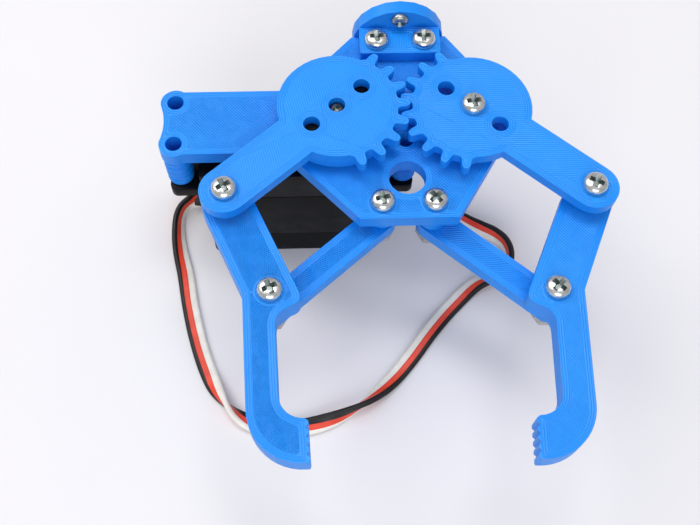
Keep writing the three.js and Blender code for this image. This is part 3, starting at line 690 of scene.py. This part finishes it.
def refill(bm, faces, lap, side, spacing):
    """Fills a level face again with small triangles that know how far they are from its outline."""
    inside = set(faces)
    rim = [e for f in faces for e in f.edges if sum(g in inside for g in e.link_faces) == 1]
    corners = list({v for e in rim for v in e.verts})
    number = {v: i for i, v in enumerate(corners)}
    flat = np.array([v.co.xy for v in corners]) / MM
    edges = [tuple(number[v] for v in e.verts) for e in rim]
    starts, ends = flat[[a for a, _ in edges]], flat[[b for _, b in edges]]
    low, high = flat.min(0), flat.max(0)
    xs = np.arange(low[0] + spacing / 2, high[0], spacing)
    ys = np.arange(low[1] + spacing / 2, high[1], spacing)
    grid = np.stack(np.meshgrid(xs, ys), -1).reshape(-1, 2)
    grid[:, 0] += (np.round((grid[:, 1] - low[1]) / spacing - 0.5) % 2) * spacing / 2
    far, within = to_segments(grid, starts, ends)
    grid = grid[within & (far > spacing * 0.45)]
    places = [Vector(p) for p in np.concatenate([flat, grid])]
    made = delaunay_2d_cdt(places, edges, [], 2, 1e-5)
    level = corners[0].co.z
    origin = [o[0] if o else None for o in made[3]]
    new_far, _ = to_segments(np.array([p[:] for p in made[0]]), starts, ends)
    bmesh.ops.delete(bm, geom=faces, context="FACES_KEEP_BOUNDARY")
    verts = []
    for place, old, away in zip(made[0], origin, new_far):
        if old is not None and old < len(corners):
            vert = corners[old]
        else:
            vert = bm.verts.new((place.x * MM, place.y * MM, level))
        vert[lap] = away / LINE_WIDTH
        verts.append(vert)
    centres = np.array([sum((made[0][i] for i in t), Vector((0, 0)))[:] for t in made[2]]) / 3
    _, kept = to_segments(centres, starts, ends)
    for triangle, keep in zip(made[2], kept):
        if not keep:
            continue
        order = triangle if side > 0 else reversed(triangle)
        try:
            bm.faces.new([verts[i] for i in order])
        except ValueError:  # the triangle is there already
            continue


def mark_edges(bm):
    """Shading breaks where a level face, an eased edge and a wall meet, and is smooth within each."""

    def kind(face):
        return 2 if abs(face.normal.z) > 0.999 else 0 if abs(face.normal.z) < 0.02 else 1

    bm.normal_update()
    for edge in bm.edges:
        if len(edge.link_faces) == 2:
            a, b = edge.link_faces
            edge.smooth = kind(a) == kind(b) and edge.calc_face_angle(0) < math.radians(42)


def printed_mesh(node, spacing=0.8, bevel=EDGE_BEVEL):
    """The CAD part with eased edges, and a fine mesh on its level faces that holds their perimeters."""
    mesh = frame["nodes"][node].data.copy()
    mesh.materials.clear()
    bm = bmesh.new()
    bm.from_mesh(mesh)
    bmesh.ops.remove_doubles(bm, verts=bm.verts, dist=1e-6)
    bmesh.ops.dissolve_limit(bm, angle_limit=math.radians(0.5), verts=bm.verts, edges=bm.edges)
    sharp = [e for e in bm.edges if e.is_manifold and e.calc_face_angle(0) > math.radians(50)]
    bmesh.ops.bevel(
        bm,
        geom=sharp,
        offset=bevel * MM,
        offset_type="OFFSET",
        segments=1,
        profile=0.5,
        affect="EDGES",
        clamp_overlap=True,
    )
    lap = bm.verts.layers.float.new("lap")
    for side in (1, -1):
        for faces in list(flat_groups(bm, side)):
            refill(bm, faces, lap, side, spacing if side > 0 else 2 * spacing)
    loose = [v for v in bm.verts if not v.link_faces]
    bmesh.ops.delete(bm, geom=loose, context="VERTS")
    mark_edges(bm)
    bm.to_mesh(mesh)
    bm.free()
    return mesh


# raster direction in degrees, roughness, herringbone, and travel marks
PRINTED = {
    "palm_plate": (42, 0.9, 0.0, ()),
    "left_gear_arm": (12, 0.3, 0.0, ((66, -3.5), (118, -6.2))),
    "right_gear_arm": (90, 0.4, 0.0, ((58, 15.0),)),
    "left_finger": (100, 1.1, 0.8, ()),
    "right_finger": (40, 0.6, 0.0, ((-38, 63.2), (-14, 67.0))),
    "left_link": (95, 1.1, 0.6, ()),
    "right_link": (92, 0.9, 0.0, ()),
    "wrist_bracket": (0, 0.4, 0.0, ()),
}


def post_mesh(name, radius, height):
    """A tall thin standoff, whose layers bulge and don't stack quite true. Its foot is at the origin."""
    stray = random.Random(name)
    count = 36
    layers = round(height / POST_LAYER)
    step = height / layers
    bore = [ring(POST_BORE_R, height, count), ring(POST_BORE_R, 0, count)]
    rows = []
    for k in range(layers):
        dx, dy = (stray.uniform(-POST_SHIFT, POST_SHIFT) for _ in range(2))
        r = radius - stray.uniform(0, POST_SHIFT)
        for share, inset in ((0.04, 0.12), (0.3, 0.02), (0.7, 0.02), (0.96, 0.12)):
            loop = ring(r - inset, (k + share) * step, count)
            rows.append([(x + dx, y + dy, z) for x, y, z in loop])
    rows[0] = ring(radius - 2 * POST_SHIFT, 0, count)
    rows[-1] = ring(radius - 2 * POST_SHIFT, height, count)
    rows += bore
    points = [p for row in rows for p in row]
    return mesh_from(name, in_metres(points), rings_to_faces(len(rows), count, closed_rows=True))


def add_posts(look):
    for node in frame["nodes"]:
        if node.startswith("standoff_"):
            low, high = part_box(node)
            radius, height = (high.x - low.x) / 2 / MM, (high.z - low.z) / MM
            place = Matrix.Translation(((low.x + high.x) / 2, (low.y + high.y) / 2, low.z))
            mesh = post_mesh(f"{node}_round", radius, height)
            new_piece(f"{node}_round", mesh, [look], BODY[node], [node], 40, place)


def add_printed():
    for node, finish in PRINTED.items():
        look = printed_look(f"blue_{node}", *finish)
        new_piece(f"{node}_printed", printed_mesh(node), [look], BODY[node], [node], None)
    plain = printed_look("blue_post", 45, 0.6)
    add_posts(plain)
    for node in frame["nodes"]:
        if node.endswith("_pivot_spacer"):
            metal = "arm_pivot" in node
            mesh = printed_mesh(node, 1.2, 0.2)
            new_piece(f"{node}_round", mesh, [ZINC if metal else plain], BODY[node], [node], None)


# ---------------------------------------------------------------- servo


def eased(node, look, width):
    """A CAD part that stays, with its edges eased and its finish on it."""
    piece = frame["nodes"][node]
    piece.data.materials.clear()
    piece.data.materials.append(look)
    weld = piece.modifiers.new("weld", "WELD")
    weld.merge_threshold = 1e-6
    bevel = piece.modifiers.new("ease", "BEVEL")
    bevel.width = width * MM
    bevel.segments = 2
    bevel.limit_method = "ANGLE"
    bevel.angle_limit = math.radians(35)
    piece.data.shade_smooth()
    piece.data.set_sharp_from_angle(angle=math.radians(30))


def add_servo():
    for node in ("servo_bottom_case", "servo_middle_case", "servo_top_case"):
        eased(node, BLACK, 0.3)
    eased("servo_horn", BLACK, 0.2)
    eased("servo_motor", STEEL, 0.5)
    eased("servo_control_board", BOARD, 0.1)
    eased("servo_position_sensor", BLACK, 0.3)
    eased("servo_output_shaft", BRASS, 0.08)
    eased("servo_idler_wheel", NYLON, 0.08)
    eased("servo_motor_pinion", BRASS, 0.06)


# ---------------------------------------------------------------- servo lead


# the knots that each level of the curve's pyramid runs between
KNOT_SPANS = [[(0, 1), (1, 2), (2, 3)], [(0, 2), (1, 3)], [(1, 2)]]


def smooth_line(points, step):
    """A centripetal Catmull-Rom curve through the points, sampled about every step."""
    points = [Vector(p) for p in points]
    ends = [2 * points[0] - points[1], *points, 2 * points[-1] - points[-2]]
    line = []
    for i in range(1, len(ends) - 2):
        p = ends[i - 1 : i + 3]
        t = [0.0]
        for a, b in zip(p, p[1:]):
            t.append(t[-1] + math.sqrt((b - a).length))
        pieces = max(1, round((p[2] - p[1]).length / step))
        for k in range(pieces):
            x = t[1] + (t[2] - t[1]) * k / pieces
            level = p
            for spans in KNOT_SPANS:
                level = [
                    level[j].lerp(level[j + 1], (x - t[low]) / (t[high] - t[low]))
                    for j, (low, high) in enumerate(spans)
                ]
            line.append(level[0])
    line.append(points[-1])
    return line


def lead_line():
    """The lead's centreline in the plan, mm, from the servo to the connector."""
    points = list(LEAD_ROUTE)
    (first, first_r), (last, last_r) = COIL_START, COIL_END
    steps = round((last - first) / COIL_STEP)
    height = LEAD_ROUTE[-1][2]
    for i in range(steps + 1):
        angle = math.radians(first + (last - first) * i / steps)
        r = first_r + (last_r - first_r) * i / steps
        points.append((COIL_CENTRE[0] + r * math.cos(angle), COIL_CENTRE[1] + r * math.sin(angle), height))
    points += [(x, y, height) for x, y in COIL_TAIL]
    return smooth_line(points, LEAD_STEP)


def ribbon_section():
    """Points and wire numbers round three touching wires, in the plane across the ribbon, mm."""
    lobes = [(-1, 62, 298, 12), (0, 242, 298, 4), (1, -118, 118, 12), (0, 62, 118, 4)]
    points, wires = [], []
    for lobe, start, end, steps in lobes:
        for k in range(steps):
            angle = math.radians(start + (end - start) * k / steps)
            points.append((lobe * WIRE_PITCH + WIRE_R * math.cos(angle), WIRE_R * math.sin(angle)))
            wires.append(lobe + 1)
    return points, wires


def smooth_share(x):
    """0 up to 0, 1 from 1, and a smooth rise between."""
    x = min(1.0, max(0.0, x))
    return x * x * (3 - 2 * x)


def ribbon_turn(at, bend, twists):
    """How far the ribbon is rolled about its own line at that distance along it."""
    rise = min(1.0, max(0.0, (at - ROLL_START) / ROLL_RISE))
    turned = -ROLL_AT_EXIT * rise * smooth_share(1 - at / ROLL_FADE)
    turned -= LEAN * smooth_share(1 - abs(at - bend) / LEAN_SPAN)
    for centre, length in twists:
        turned += math.pi * smooth_share((at - centre) / length + 0.5)
    return turned


def add_lead():
    line = lead_line()
    along = [0.0]
    for a, b in zip(line, line[1:]):
        along.append(along[-1] + (b - a).length)

    def along_at(x, y):
        """How far along the lead it passes closest to that point of the plan."""
        return along[min(range(len(line)), key=lambda i: (line[i].xy - Vector((x, y))).length)]

    twists = [(along_at(x, y), length) for x, y, length in HALF_TWISTS]
    bend = along_at(*LEAN_AT)
    section, wires = ribbon_section()
    count = len(section)
    points, path = [], []
    for i, place in enumerate(line):
        ahead = (line[min(i + 1, len(line) - 1)] - line[max(i - 1, 0)]).normalized()
        turned = ribbon_turn(along[i], bend, twists)
        flat = Vector((0, 0, 1)).cross(ahead).normalized()
        up = ahead.cross(flat)
        across = math.cos(turned) * flat + math.sin(turned) * up
        normal = ahead.cross(across)
        half_height = abs(across.z) * WIRE_PITCH + WIRE_R
        centre = Vector((place.x, place.y, max(place.z, half_height + FLOOR_CLEARANCE)))
        # the flat stretches lie on the floor, and only the exit is higher
        if i > EXIT_SAMPLES:
            centre.z = min(centre.z, max(half_height + FLOOR_CLEARANCE, place.z - 0.1))
        path.append(plan(*centre))
        for a, b in section:
            points.append(plan(*(centre + a * across + b * normal)))
    faces = rings_to_faces(len(line), count)
    indices = [wires[i % count] for i in range(len(faces) - 2)] + [1, 1]
    mesh = mesh_from("servo_lead_ribbon", points, faces, indices)
    return new_piece(
        "servo_lead_ribbon",
        mesh,
        WIRES,
        BODY["servo_lead"],
        ["servo_lead", "servo_lead_coil"],
        60,
    ), path


def boxed(name, size, centre, bevel):
    """A block with rounded edges, in mm, in its own place."""
    bm = bmesh.new()
    bmesh.ops.create_cube(bm, size=1)
    bmesh.ops.scale(bm, vec=[s * MM for s in size], verts=bm.verts)
    bmesh.ops.bevel(bm, geom=bm.edges[:], offset=bevel * MM, segments=3, profile=0.5, affect="EDGES")
    bmesh.ops.translate(bm, vec=Vector(centre) * MM, verts=bm.verts)
    mesh = bpy.data.meshes.new(name)
    bm.to_mesh(mesh)
    bm.free()
    return mesh


def add_connector():
    """Three-way socket housing with its latch windows, contact holes and a keyed edge."""
    low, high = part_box("lead_connector")
    centre = (low + high) / 2
    body = boxed("connector", CONNECTOR_SIZE, (0, 0, 0), 0.25)
    for k in (-1, 0, 1):
        body = cut(body, boxed("window", (2.2, 1.1, 1.2), (1.2, k * 2.4, 1.2), 0.1))
        body = cut(body, boxed("socket", (6, 1.0, 1.0), (-6.5, k * 2.4, 0), 0.08))
    for side in (-1, 1):
        body = cut(body, boxed("key", (6, 0.8, 0.7), (5.5, side * 3.9, 1.1), 0.1))
    body.name = "lead_connector_housing"
    place = Matrix.Translation(centre) @ Matrix.Rotation(CONNECTOR_TURN, 4, "Z")
    return new_piece(
        "lead_connector_housing",
        body,
        [BLACK],
        BODY["lead_connector"],
        ["lead_connector"],
        30,
        place,
    )


def band_mesh(name, half_span, half_height, width, thickness):
    """A flat band wrapped round a bundle that is wider than it is high. The bundle runs along x."""
    count = 48
    rows = []
    for offset, x in ((0, -width / 2), (thickness, -width / 2), (thickness, width / 2), (0, width / 2)):
        row = []
        for k in range(count):
            angle = 2 * math.pi * k / count
            c, s = math.cos(angle), math.sin(angle)
            r = half_height + offset
            y = (half_span - half_height) * (1 if c > 0 else -1) * (abs(c) ** 0.25) + r * c
            row.append((x, y, r * math.copysign(abs(s) ** 0.6, s)))
        rows.append(row)
    points = [p for row in rows for p in row]
    return mesh_from(name, in_metres(points), rings_to_faces(4, count, closed_rows=True))


def add_tie():
    """A strap with a small buckle, round the two runs of the lead where the coil closes."""
    angle = math.radians(COIL_START[0] + 8)
    inner = COIL_END[1] + 0.2
    r = (COIL_START[1] + inner) / 2
    x, y = COIL_CENTRE[0] + r * math.cos(angle), COIL_CENTRE[1] + r * math.sin(angle)
    half_span = (COIL_START[1] - inner) / 2 + LEAD_WIDTH / 2 + 0.1
    half_height = WIRE_R + FLOOR_CLEARANCE
    strap = band_mesh("lead_tie", half_span, half_height, 2.4, 0.3)
    place = Matrix.Translation(plan(x, y, half_height + 0.35)) @ Matrix.Rotation(angle + math.pi / 2, 4, "Z")
    tie = new_piece("lead_tie", strap, [RUBBER], "base", (), 40, place)
    buckle = boxed("lead_tie_buckle", (3.4, 2.6, 1.5), (0, 0, 0), 0.25)
    spot = plan(x, y, 2 * half_height + 1.3)
    place = Matrix.Translation(spot) @ Matrix.Rotation(angle + math.pi / 2, 4, "Z")
    head = new_piece("lead_tie_buckle", buckle, [RUBBER], "base", (), 40, place)
    return [tie, head]


def add_grommet():
    """Tapered rubber boot where the lead leaves the servo's end wall."""
    low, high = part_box("lead_grommet")
    centre = (low + high) / 2
    count = 32
    rows = []
    for share, half_y, half_z in GROMMET_OUTLINE:
        row = []
        for k in range(count):
            angle = 2 * math.pi * k / count
            c, s = math.cos(angle), math.sin(angle)
            y = half_y * math.copysign(abs(c) ** 0.6, c)
            z = half_z * math.copysign(abs(s) ** 0.6, s)
            row.append((-GROMMET_LENGTH * share, y, z))
        rows.append(row)
    points = [p for row in rows for p in row]
    faces = [tuple(reversed(f)) for f in rings_to_faces(len(rows), count)]
    mesh = mesh_from("lead_grommet_boot", in_metres(points), faces)
    place = Matrix.Translation(Vector((high.x, centre.y, centre.z)))
    return new_piece(
        "lead_grommet_boot",
        mesh,
        [RUBBER],
        BODY["lead_grommet"],
        ["lead_grommet"],
        40,
        place,
    )


# ---------------------------------------------------------------- studio


def add_studio():
    steps = FLOOR_STEPS
    points, faces = [], []
    for i in range(steps + 1):
        for j in range(steps + 1):
            points.append((FLOOR_HALF * (2 * i / steps - 1), FLOOR_HALF * (2 * j / steps - 1), 0))
    for i in range(steps):
        for j in range(steps):
            a = i * (steps + 1) + j
            faces.append((a, a + steps + 1, a + steps + 2, a + 1))
    floor = bpy.data.objects.new("floor", mesh_from("floor", points, faces))
    bpy.context.scene.collection.objects.link(floor)
    look = Look("floor_paper")
    tone = look.mix(look.noise(60, 2), (0.8, 0.79, 0.82, 1), (0.84, 0.83, 0.86, 1))
    gloss = look.ramp(look.noise(20, 2), 0, 1, 0.6, 0.8)
    floor.data.materials.append(look.finish(tone, gloss, look.noise(0.4, 3), distance=0.02, strength=0.3))
    for name, place, power, width, depth, colour in LIGHTS:
        data = bpy.data.lights.new(name, "AREA")
        data.energy = power
        data.shape = "RECTANGLE"
        data.size = width
        data.size_y = depth
        data.color = colour
        light = bpy.data.objects.new(name, data)
        bpy.context.scene.collection.objects.link(light)
        light.location = place
        aim = Vector(LIGHT_AIM) - Vector(place)
        light.rotation_mode = "QUATERNION"
        light.rotation_quaternion = aim.to_track_quat("-Z", "Y")
    world = bpy.data.worlds.new("studio")
    bpy.context.scene.world = world
    world.use_nodes = True
    world.node_tree.nodes["Background"].inputs[0].default_value = (0.95, 0.95, 0.97, 1)
    world.node_tree.nodes["Background"].inputs[1].default_value = 0.5
    bpy.context.scene.view_settings.view_transform = "Standard"


add_camera()
ribbon, ribbon_path = add_lead()
on_the_lead = [add_connector(), *add_tie(), add_grommet()]
add_printed()
add_screws()
add_nuts()
add_servo()
add_studio()
